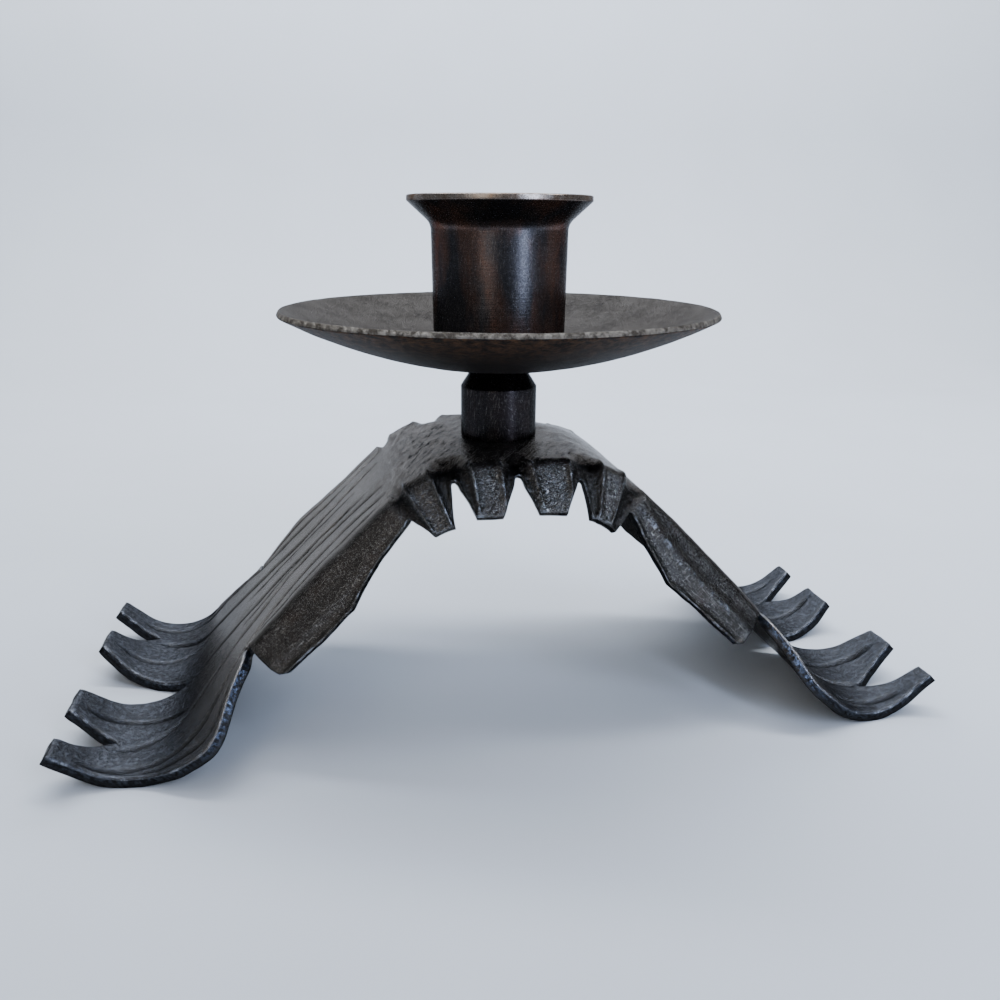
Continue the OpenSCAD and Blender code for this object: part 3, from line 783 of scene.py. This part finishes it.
def turned_piece(name, loop, lift, rings, material, dent=0.0, dent_size=6.0, seed=0.0):
    """A ring of that profile, made by the lathe tree."""
    points = [(r * MM, 0, (z + lift) * MM) for r, z in loop + loop[:1]]
    mesh = bpy.data.meshes.new(name + " profile")
    mesh.from_pydata(points, [(i, i + 1) for i in range(len(points) - 1)], [])
    piece = bpy.data.objects.new(name, mesh)
    bpy.context.scene.collection.objects.link(piece)
    return run_tree(piece, TREES["lathe"], {
        "Points": len(points), "Rings": rings, "Dent Depth": dent * MM,
        "Dent Size": dent_size * MM, "Seed": seed, "Material": material})


def collar_loop():
    corners = [(HOLE_R, 0), (COLLAR_R, 0), (COLLAR_R, COLLAR_H - COLLAR_CHAMFER_H),
               (COLLAR_R - COLLAR_CHAMFER_W, COLLAR_H), (HOLE_R, COLLAR_H)]
    return refined(rounded(corners, [0, 0.3, 0.35, 0.1, 0]), 0.8)


PAN_RUN = PAN_R - PAN_T * math.sin(PAN_EDGE_SLOPE) - PAN_SEAT_R
PAN_CHORD_SLOPE = math.atan(PAN_DEPTH / PAN_RUN)
PAN_START_SLOPE = 2 * PAN_CHORD_SLOPE - PAN_EDGE_SLOPE
PAN_WALL_R = math.hypot(PAN_RUN, PAN_DEPTH) / (2 * math.sin(PAN_EDGE_SLOPE - PAN_CHORD_SLOPE))


def pan_wall(share, depth):
    """A point on the pan's wall, at a depth under its inner face."""
    a = PAN_START_SLOPE + (PAN_EDGE_SLOPE - PAN_START_SLOPE) * share
    return (PAN_SEAT_R - PAN_WALL_R * math.sin(PAN_START_SLOPE)
            + (PAN_WALL_R + depth) * math.sin(a),
            PAN_T + PAN_WALL_R * math.cos(PAN_START_SLOPE) - (PAN_WALL_R + depth) * math.cos(a))


def pan_rise(r):
    """Height of the pan's inner face over its seat, at radius r."""
    a = math.asin(math.sin(PAN_START_SLOPE) + (r - PAN_SEAT_R) / PAN_WALL_R)
    return PAN_WALL_R * (math.cos(PAN_START_SLOPE) - math.cos(a))


def pan_loop():
    steps = 26
    outer = [pan_wall(i / steps, PAN_T) for i in range(steps + 1)]
    inner = [pan_wall(i / steps, 0) for i in range(steps, -1, -1)]
    corners = [(HOLE_R, 0), (outer[0][0], 0)] + outer[1:] + inner + [(HOLE_R, PAN_T)]
    radii = [0, 0.4] + [0] * (steps - 1) + [0.4, 0.4] + [0] * steps + [0]
    return refined(rounded(corners, radii, 4), 0.9)


def cup_loop():
    wall_r = CUP_BORE_R + CUP_WALL
    foot_r = wall_r - CUP_TAPER / 2
    rim_r = wall_r + RIM_REACH
    flare_turn = math.pi / 2 - FLARE_SLOPE
    rise = (RIM_REACH - FLARE_FILLET_R * (1 - math.cos(flare_turn))) * math.tan(FLARE_SLOPE)
    fillet_rise = FLARE_FILLET_R * math.sin(flare_turn)
    wall_top = CUP_H - RIM_EDGE_H - rise - fillet_rise
    bore_top = wall_top + fillet_rise / 2
    fillet = [(wall_r + FLARE_FILLET_R * (1 - math.cos(t)), wall_top + FLARE_FILLET_R * math.sin(t))
              for t in np.linspace(0, flare_turn, 9)]
    mouth_r = rim_r - 0.9
    inside_flare = [
        (mouth_r, CUP_H),
        (CUP_BORE_R + (mouth_r - CUP_BORE_R) * 0.2, bore_top + (CUP_H - bore_top) * 0.35),
        (CUP_BORE_R, bore_top)]
    foot_rise = pan_rise(foot_r) + CUP_FOOT_GAP
    corners = ([(HOLE_R, 0), (PAN_SEAT_R, 0), (foot_r, foot_rise)] + fillet
               + [(rim_r, CUP_H - RIM_EDGE_H), (rim_r, CUP_H)] + inside_flare
               + [(CUP_BORE_R, CUP_SEAT), (HEAD_RECESS_R, CUP_SEAT), (HEAD_RECESS_R, CUP_FLOOR),
                  (HOLE_R, CUP_FLOOR)])
    radii = [0, 0, 0.4] + [0] * 9 + [0.25, 0.35, 0.4, 3.0, 2.0, 0.3, 0.2, 0, 0]
    return refined(rounded(corners, radii), 0.8)


# Materials. Colours are sRGB hex values.

def linear(text):
    """The linear colour of an sRGB hex value."""
    parts = [int(text[i:i + 2], 16) / 255 for i in (1, 3, 5)]
    parts = [c / 12.92 if c <= 0.04045 else ((c + 0.055) / 1.055) ** 2.4 for c in parts]
    return (*parts, 1.0)


def new_material(name):
    material = bpy.data.materials.new(name)
    material.use_nodes = True
    tree = material.node_tree
    tree.nodes.clear()
    shader = add_node(tree, "ShaderNodeBsdfPrincipled")
    add_node(tree, "ShaderNodeOutputMaterial", {"Surface": shader.outputs[0]})
    return material, tree, shader


def surface_patterns(tree, rows):
    """The patterns of a finish, each from 0 to 1, on the piece's own coordinates.

    A row gives the size in millimetres of a pattern's patches, its finer detail and how rough that
    is, how far the patches are drawn out along x, y and z, how they are then turned in degrees, and
    the levels of noise where the pattern starts and is full."""
    coords = add_node(tree, "ShaderNodeTexCoord")
    found = {}
    for name, (size, detail, roughness, drawn, turn, start, full) in rows.items():
        place = add_node(tree, "ShaderNodeMapping",
                         {"Vector": coords.outputs["Object"], "Scale": drawn,
                          "Rotation": [math.radians(t) for t in turn]},
                         vector_type="TEXTURE")
        noise = add_node(tree, "ShaderNodeTexNoise",
                         {"Vector": place.outputs[0], "Scale": 1 / (size * MM), "Detail": detail,
                          "Roughness": roughness})
        held = add_node(tree, "ShaderNodeMapRange",
                        {"Value": noise.outputs[0], "From Min": start, "From Max": full})
        found[name] = held.outputs[0]
    return found


def coats(tree, base, layers):
    """Colours laid over a base colour. A layer is its shares, multiplied together, and a colour."""
    colour = linear(base)
    for *shares, text in layers:
        share = shares[0]
        for other in shares[1:]:
            share = add_node(tree, "ShaderNodeMath", {0: share, 1: other},
                             operation="MULTIPLY").outputs[0]
        mix = add_node(tree, "ShaderNodeMix", {0: share, 6: colour, 7: linear(text)},
                       data_type="RGBA")
        colour = mix.outputs[2]
    return colour


EVEN = (1, 1, 1)
UNTURNED = (0, 0, 0)


def forged_steel():
    """Mild steel, hot forged, blackened in its own scale, brushed back and waxed.

    The eye sees a satin dark grey that is streaky on the hammered crown, lighter where a brush has
    rubbed the high faces, black in the grooves and on the folded tabs and flaps, where fine
    scratches cross it. Painted shade darkens the tabs' sloping sides, bright lines on the edges and
    the tabs' creases are partly wear and partly painted highlight, a bright line along the right
    flap's crease is a painted highlight, and bluish flecks on the feet's cut walls are painted
    glints."""
    material, tree, shader = new_material("forge-blackened waxed steel")
    fact = {}
    for name in ("skirt", "groove", "arris_wear_and_highlight", "wall", "under", "crown", "foot", "heel"):
        fact[name] = add_node(tree, "ShaderNodeAttribute", attribute_name=name).outputs["Fac"]
    rub = surface_patterns(tree, {
        "cloud": (9.0, 4, 0.6, EVEN, UNTURNED, 0.36, 0.64),
        "grain": (0.55, 5, 0.75, EVEN, UNTURNED, 0.35, 0.65),
        "pits": (0.9, 4, 0.7, EVEN, UNTURNED, 0.40, 0.62),
        "streak": (1.0, 4, 0.75, (5.0, 1.0, 1.0), (0, 0, 62), 0.42, 0.60),
        "rust": (5.0, 3, 0.6, EVEN, UNTURNED, 0.50, 0.72),
        "wear_and_glint": (2.4, 4, 0.75, EVEN, UNTURNED, 0.52, 0.62),
        "wall_glint_fleck": (0.6, 3, 0.7, (2.0, 1.0, 1.0), (0, 45, 0), 0.46, 0.62),
        "left scratch": (0.2, 2, 0.5, (18, 1, 1), (0, 48, 8), 0.60, 0.70),
        "right scratch": (0.2, 2, 0.5, (18, 1, 1), (0, -48, -8), 0.60, 0.70),
        "cross scratch": (0.2, 2, 0.5, (1, 14, 1), (-50, 0, 15), 0.60, 0.70)})
    scratches = add_node(tree, "ShaderNodeMath",
                         {0: rub["left scratch"], 1: rub["right scratch"]}, operation="MAXIMUM")
    scratches = add_node(tree, "ShaderNodeMath",
                         {0: scratches.outputs[0], 1: rub["cross scratch"]}, operation="MAXIMUM")
    scratches = scratches.outputs[0]
    colour = coats(tree, "#7b7671", [
        (rub["cloud"], "#8a847e"),
        (rub["grain"], 0.6, "#a9a6a2"),
        (rub["streak"], fact["crown"], 0.9, "#343332"),
        (fact["foot"], 0.92, "#2e3034"),
        (fact["foot"], rub["pits"], 0.75, "#54575e"),
        (fact["skirt"], 0.97, "#1e1c1b"),
        (fact["skirt"], rub["cloud"], 0.6, "#100f0e"),
        (fact["skirt"], rub["rust"], 0.5, "#2f2119"),
        (fact["skirt"], rub["grain"], 0.5, "#605d59"),
        (fact["skirt"], fact["crown"], rub["grain"], 0.18, "#85888c"),
        (fact["skirt"], scratches, 0.6, "#93908b"),
        (fact["wall"], 0.92, "#101012"),
        # Bluish flecks on the feet's cut walls: painted glints.
        (fact["wall"], fact["foot"], rub["wall_glint_fleck"], 0.6, "#4d525b"),
        (fact["under"], 0.85, "#141312"),
        # Black in grooves and hollows, together with painted shade on the tabs' sloping sides.
        (fact["groove"], 0.95, "#0a0a0a"),
        # Brighter painted glints on the cut walls near the heels.
        (fact["wall"], fact["heel"], rub["wall_glint_fleck"], 0.8, "#7785a0"),
        # Bright edges and creases: wear and painted highlight.
        (fact["arris_wear_and_highlight"], rub["wear_and_glint"], 0.6, "#a6abb5")])
    tree.links.new(colour, shader.inputs["Base Color"])
    shader.inputs["Metallic"].default_value = 0.92
    shader.inputs["Specular Tint"].default_value = linear("#8f8b87")
    shine = coats(tree, "#686868", [
        (rub["grain"], "#808080"),
        (fact["skirt"], 0.9, "#404040"),
        (fact["wall"], 0.8, "#707070")])
    tree.links.new(shine, shader.inputs["Roughness"])
    shader.inputs["Coat Weight"].default_value = 0.05
    shader.inputs["Coat Roughness"].default_value = 0.3
    heights = coats(tree, "#808080", [
        (rub["grain"], 0.2, "#ffffff"),
        (rub["streak"], fact["crown"], 0.9, "#000000"),
        (rub["pits"], fact["foot"], 0.4, "#ffffff"),
        (scratches, fact["skirt"], 0.25, "#000000")])
    bump = add_node(tree, "ShaderNodeBump",
                    {"Strength": 0.9, "Distance": 0.3 * MM, "Height": heights})
    tree.links.new(bump.outputs[0], shader.inputs["Normal"])
    return material


def turned_steel():
    """Bar steel, turned on a lathe, blackened by fire and waxed.

    The eye sees glossy black, brown where the oxide is thin, with very fine rings left by the tool
    and short scratches, and a paler, browner edge where hands have rubbed the rim. Painted shade
    makes the collar deeper black beneath the pan."""
    material, tree, shader = new_material("fire-blackened turned steel")
    rub = surface_patterns(tree, {
        "rings": (0.35, 3, 0.7, (50, 50, 1), UNTURNED, 0.35, 0.65),
        "smear": (6.0, 3, 0.5, (1, 1, 3.0), UNTURNED, 0.42, 0.58),
        "cloud": (3.0, 4, 0.6, EVEN, UNTURNED, 0.35, 0.65),
        "grain": (0.4, 4, 0.7, EVEN, UNTURNED, 0.3, 0.7),
        "long scratch": (0.15, 2, 0.5, (1, 1, 20), (6, 4, 0), 0.60, 0.72),
        "short scratch": (0.15, 2, 0.5, (12, 1, 1), (0, 35, 10), 0.62, 0.74)})
    coords = add_node(tree, "ShaderNodeTexCoord")
    height = add_node(tree, "ShaderNodeSeparateXYZ", {0: coords.outputs["Object"]}).outputs[2]
    pan_under = CROWN_H + COLLAR_H
    top = pan_under + PAN_T + CUP_H
    rim = add_node(tree, "ShaderNodeMapRange",
                   {"Value": height, "From Min": (top - 1.3) * MM,
                    "From Max": (top - 0.7) * MM}).outputs[0]
    # Painted shade: the collar is darker beneath the pan.
    under_pan_shade = add_node(tree, "ShaderNodeMapRange",
                     {"Value": height, "From Min": (pan_under + 0.5) * MM,
                      "From Max": pan_under * MM}).outputs[0]
    scratches = add_node(tree, "ShaderNodeMath",
                         {0: rub["long scratch"], 1: rub["short scratch"]},
                         operation="MAXIMUM").outputs[0]
    colour = coats(tree, "#39383b", [
        (rub["smear"], 0.75, "#6a4d40"),
        (rub["cloud"], 0.4, "#4b494b"),
        # Painted shade beneath the pan.
        (under_pan_shade, 0.92, "#161619"),
        (scratches, 0.28, "#8d8884"),
        (rim, 0.8, "#8a7767"),
        (rim, rub["cloud"], 0.6, "#b3afab")])
    tree.links.new(colour, shader.inputs["Base Color"])
    shader.inputs["Metallic"].default_value = 0.95
    shader.inputs["Specular Tint"].default_value = linear("#777575")
    rough = add_node(tree, "ShaderNodeMapRange",
                     {"Value": rub["grain"], "To Min": 0.20, "To Max": 0.36})
    tree.links.new(rough.outputs[0], shader.inputs["Roughness"])
    shader.inputs["Coat Weight"].default_value = 0.1
    shader.inputs["Coat Roughness"].default_value = 0.2
    bumps = coats(tree, "#808080", [
        (rub["rings"], 0.7, "#ffffff"),
        (rub["grain"], 0.6, "#ffffff"),
        (scratches, 0.35, "#000000")])
    bump = add_node(tree, "ShaderNodeBump",
                    {"Strength": 0.6, "Distance": 0.04 * MM, "Height": bumps})
    tree.links.new(bump.outputs[0], shader.inputs["Normal"])
    return material


def pan_steel():
    """Sheet steel, dished with a hammer, planished, blackened, rubbed back inside and waxed.

    The eye sees a matt mid grey inside and a thin rubbed edge."""
    material, tree, shader = new_material("planished sheet steel")
    rub = surface_patterns(tree, {
        "cloud": (8.0, 4, 0.6, EVEN, UNTURNED, 0.35, 0.65),
        "grain": (0.8, 5, 0.75, EVEN, UNTURNED, 0.3, 0.7),
        "pits": (2.6, 4, 0.75, EVEN, UNTURNED, 0.46, 0.60),
        "chips": (1.6, 4, 0.7, EVEN, UNTURNED, 0.42, 0.66)})
    coords = add_node(tree, "ShaderNodeTexCoord")
    across = add_node(tree, "ShaderNodeVectorMath", {0: coords.outputs["Object"], 1: (1, 1, 0)},
                      operation="MULTIPLY")
    radius = add_node(tree, "ShaderNodeVectorMath", {0: across.outputs[0]}, operation="LENGTH")
    rim = add_node(tree, "ShaderNodeMapRange",
                   {"Value": radius.outputs["Value"], "From Min": (PAN_R - 0.75) * MM,
                    "From Max": (PAN_R - 0.45) * MM}).outputs[0]
    colour = coats(tree, "#282624", [
        (rub["cloud"], "#474441"),
        (rub["grain"], 0.7, "#625e5a"),
        (rub["pits"], 0.35, "#67635f"),
        (rim, 0.85, "#48423b"),
        (rim, rub["chips"], 0.7, "#a8a196")])
    tree.links.new(colour, shader.inputs["Base Color"])
    shader.inputs["Metallic"].default_value = 0.92
    shader.inputs["Specular Tint"].default_value = linear("#9a9691")
    rough = add_node(tree, "ShaderNodeMapRange",
                     {"Value": rub["grain"], "To Min": 0.40, "To Max": 0.54})
    tree.links.new(rough.outputs[0], shader.inputs["Roughness"])
    shader.inputs["Coat Weight"].default_value = 0.05
    shader.inputs["Coat Roughness"].default_value = 0.35
    bump = add_node(tree, "ShaderNodeBump",
                    {"Strength": 0.8, "Distance": 0.32 * MM, "Height": rub["grain"]})
    tree.links.new(bump.outputs[0], shader.inputs["Normal"])
    return material


def scale_black_and_shade_underside():
    """The pan's underside: steel left in its black forge scale, with a rough bloom of rust, and
    painted shade that makes it darker than the scale is.

    The eye sees brown-black, nearly without gloss, and rusty grain towards the edge."""
    material, tree, shader = new_material("scale-black sheet steel with painted shade")
    rub = surface_patterns(tree, {
        "grain": (0.7, 5, 0.75, EVEN, UNTURNED, 0.3, 0.7),
        "rust": (1.5, 5, 0.8, EVEN, UNTURNED, 0.44, 0.62)})
    coords = add_node(tree, "ShaderNodeTexCoord")
    across = add_node(tree, "ShaderNodeVectorMath", {0: coords.outputs["Object"], 1: (1, 1, 0)},
                      operation="MULTIPLY")
    radius = add_node(tree, "ShaderNodeVectorMath", {0: across.outputs[0]}, operation="LENGTH")
    outer = add_node(tree, "ShaderNodeMapRange",
                     {"Value": radius.outputs["Value"], "From Min": 30 * MM,
                      "From Max": 43 * MM}).outputs[0]
    # Near black: the scale's own colour together with painted shade.
    colour = coats(tree, "#0b0806", [
        (rub["grain"], 0.5, "#18120f"),
        (outer, rub["rust"], 0.85, "#4a3423")])
    tree.links.new(colour, shader.inputs["Base Color"])
    shader.inputs["Specular IOR Level"].default_value = 0.1
    shader.inputs["Roughness"].default_value = 0.6
    heights = coats(tree, "#808080", [
        (rub["grain"], 0.5, "#ffffff"),
        (rub["rust"], 0.6, "#ffffff")])
    bump = add_node(tree, "ShaderNodeBump",
                    {"Strength": 0.7, "Distance": 0.12 * MM, "Height": heights})
    tree.links.new(bump.outputs[0], shader.inputs["Normal"])
    return material


def fastener_steel():
    """Machine screw steel, rolled, plain and dull from handling."""
    material, tree, shader = new_material("dull fastener steel")
    rub = surface_patterns(tree, {
        "cloud": (1.6, 4, 0.6, EVEN, UNTURNED, 0.35, 0.65),
        "grain": (0.3, 4, 0.6, EVEN, UNTURNED, 0.3, 0.7)})
    colour = coats(tree, "#6d6e70", [
        (rub["cloud"], "#8f9092"),
        (rub["grain"], 0.4, "#55524e")])
    tree.links.new(colour, shader.inputs["Base Color"])
    shader.inputs["Metallic"].default_value = 1.0
    rough = add_node(tree, "ShaderNodeMapRange",
                     {"Value": rub["grain"], "To Min": 0.30, "To Max": 0.45})
    tree.links.new(rough.outputs[0], shader.inputs["Roughness"])
    return material


def pale_card(name, text, shade):
    """Painted studio board: matt, with a faint unevenness of the roller."""
    material, tree, shader = new_material(name)
    rub = surface_patterns(tree, {"roller": (60.0, 3, 0.5, EVEN, UNTURNED, 0.3, 0.7)})
    tree.links.new(coats(tree, text, [(rub["roller"], shade)]), shader.inputs["Base Color"])
    shader.inputs["Roughness"].default_value = 0.9
    return material


# Stage, light and camera

def add_stage():
    """A pale floor that sweeps up into a pale wall behind the object."""
    points = [(-900.0, 0.0), (330.0, 0.0)]
    bend = 160.0
    points += [(330 + bend * math.sin(t), bend * (1 - math.cos(t)))
               for t in np.linspace(0.15, math.pi / 2, 10)]
    points += [(330 + bend, 1500.0)]
    verts, faces = [], []
    for x in (-1500.0, 1500.0):
        verts += [(x * MM, y * MM, z * MM - 0.00001) for y, z in points]
    n = len(points)
    faces = [(i, i + 1, n + i + 1, n + i) for i in range(n - 1)]
    mesh = bpy.data.meshes.new("stage floor")
    mesh.from_pydata(verts, [], faces)
    mesh.shade_smooth()
    floor = bpy.data.objects.new("stage floor", mesh)
    bpy.context.scene.collection.objects.link(floor)
    floor.data.materials.append(pale_card("pale studio board", "#cfd3d8", "#ccd0d5"))


def add_light(name, place, target, size, power, colour):
    """A soft box that faces a point."""
    data = bpy.data.lights.new(name, "AREA")
    data.shape = "RECTANGLE"
    data.size, data.size_y = size[0] * MM, size[1] * MM
    data.energy = power
    data.color = linear(colour)[:3]
    light = bpy.data.objects.new(name, data)
    bpy.context.scene.collection.objects.link(light)
    light.location = Vector(place) * MM
    aim = (Vector(target) - Vector(place)).normalized()
    light.rotation_euler = aim.to_track_quat("-Z", "Y").to_euler()


def add_lights():
    world = bpy.data.worlds.new("dim studio")
    world.use_nodes = True
    back = world.node_tree.nodes["Background"]
    back.inputs[0].default_value = linear("#e6ebf2")
    back.inputs[1].default_value = 0.2
    bpy.context.scene.world = world
    add_light("front strip", (-300, -520, 330), (0, 0, 60), (260, 620), 1.0, "#fbf6f0")
    add_light("wall wash", (120, 120, 620), (250, 470, 230), (1100, 220), 12.1, "#edf4ff")
    add_light("window", (225, -390, 240), (0, 0, 75), (80, 520), 2.1, "#cfe0ff")
    add_light("sky", (-80, -40, 560), (0, 0, 40), (420, 320), 1.2, "#eaf0fb")


def add_camera():
    """The photograph's viewpoint: its place, its heading, its dip and its slight roll."""
    place = Vector((-33.09, -182.81, 99.18)) * MM
    yaw, dip, roll = math.radians(10.403), math.radians(17.266), math.radians(0.418)
    ahead = Vector((math.sin(yaw) * math.cos(dip), math.cos(yaw) * math.cos(dip), -math.sin(dip)))
    right = ahead.cross(Vector((0, 0, 1))).normalized()
    up = right.cross(ahead)
    across = math.cos(roll) * right + math.sin(roll) * up
    over = -math.sin(roll) * right + math.cos(roll) * up
    data = bpy.data.cameras.new("photograph view")
    data.sensor_width = 36.0
    data.lens = 32.4
    data.clip_start = 0.01
    camera = bpy.data.objects.new("photograph view", data)
    turn = Matrix((across, over, -ahead)).transposed().to_4x4()
    camera.matrix_world = Matrix.Translation(place) @ turn
    bpy.context.scene.collection.objects.link(camera)
    bpy.context.scene.camera = camera


def held_in(piece, low, high):
    """Keeps a finished mesh inside a box, which also dresses the feet's soles flat."""
    count = len(piece.data.vertices)
    co = np.empty(count * 3, np.float32)
    piece.data.vertices.foreach_get("co", co)
    co = np.clip(co.reshape(-1, 3), np.array(low, np.float32), np.array(high, np.float32))
    piece.data.vertices.foreach_set("co", co.ravel())
    piece.data.update()


# The object

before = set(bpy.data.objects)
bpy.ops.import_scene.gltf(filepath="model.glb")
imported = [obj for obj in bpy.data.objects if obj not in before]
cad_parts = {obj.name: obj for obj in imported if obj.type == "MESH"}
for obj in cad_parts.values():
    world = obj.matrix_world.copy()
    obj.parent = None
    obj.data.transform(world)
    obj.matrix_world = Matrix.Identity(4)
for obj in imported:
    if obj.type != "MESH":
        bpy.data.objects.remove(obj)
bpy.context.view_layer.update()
TREES = {"hammer": hammer_tree(), "lathe": lathe_tree()}
STEEL = {"forged_steel": forged_steel(), "turned_steel": turned_steel(),
         "pan_steel": pan_steel(), "fastener_steel": fastener_steel()}


def seat(piece, node):
    """Puts a finished piece in the place of a node of the part."""
    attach(piece, "root")
    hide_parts(node)


verts, faces, facts = plate_mesh()
plate = new_mesh("forged_plate", verts, faces, facts)
plate = run_tree(plate, TREES["hammer"], {
    "Blow Depth": 0.5 * MM, "Blow Size": 7 * MM, "Pit Depth": 0.1 * MM, "Pit Size": 1.7 * MM,
    "Seed": 3.0, "Material": STEEL["forged_steel"]})
held_in(plate, *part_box("base_plate"))
seat(plate, "base_plate")

pan_z = CROWN_H + COLLAR_H
collar = turned_piece("collar_turned", collar_loop(), CROWN_H, 128, STEEL["turned_steel"])
seat(collar, "collar")
pan = turned_piece("drip_pan_dished", pan_loop(), pan_z, 320, STEEL["pan_steel"],
                   0.12, 5.0, 2.0)
# The pan's downward faces get the scale black with painted shade.
pan.data.materials.append(scale_black_and_shade_underside())
for face in pan.data.polygons:
    if face.normal.z < -0.3:
        face.material_index = 1
seat(pan, "drip_pan")
cup = turned_piece("candle_cup_turned", cup_loop(), pan_z + PAN_T, 192, STEEL["turned_steel"])
seat(cup, "candle_cup")

for node in ("clamp_screw", "washer", "clamp_nut"):
    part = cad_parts[node]
    part.data.materials.clear()
    part.data.materials.append(STEEL["fastener_steel"])

add_stage()
add_lights()
add_camera()
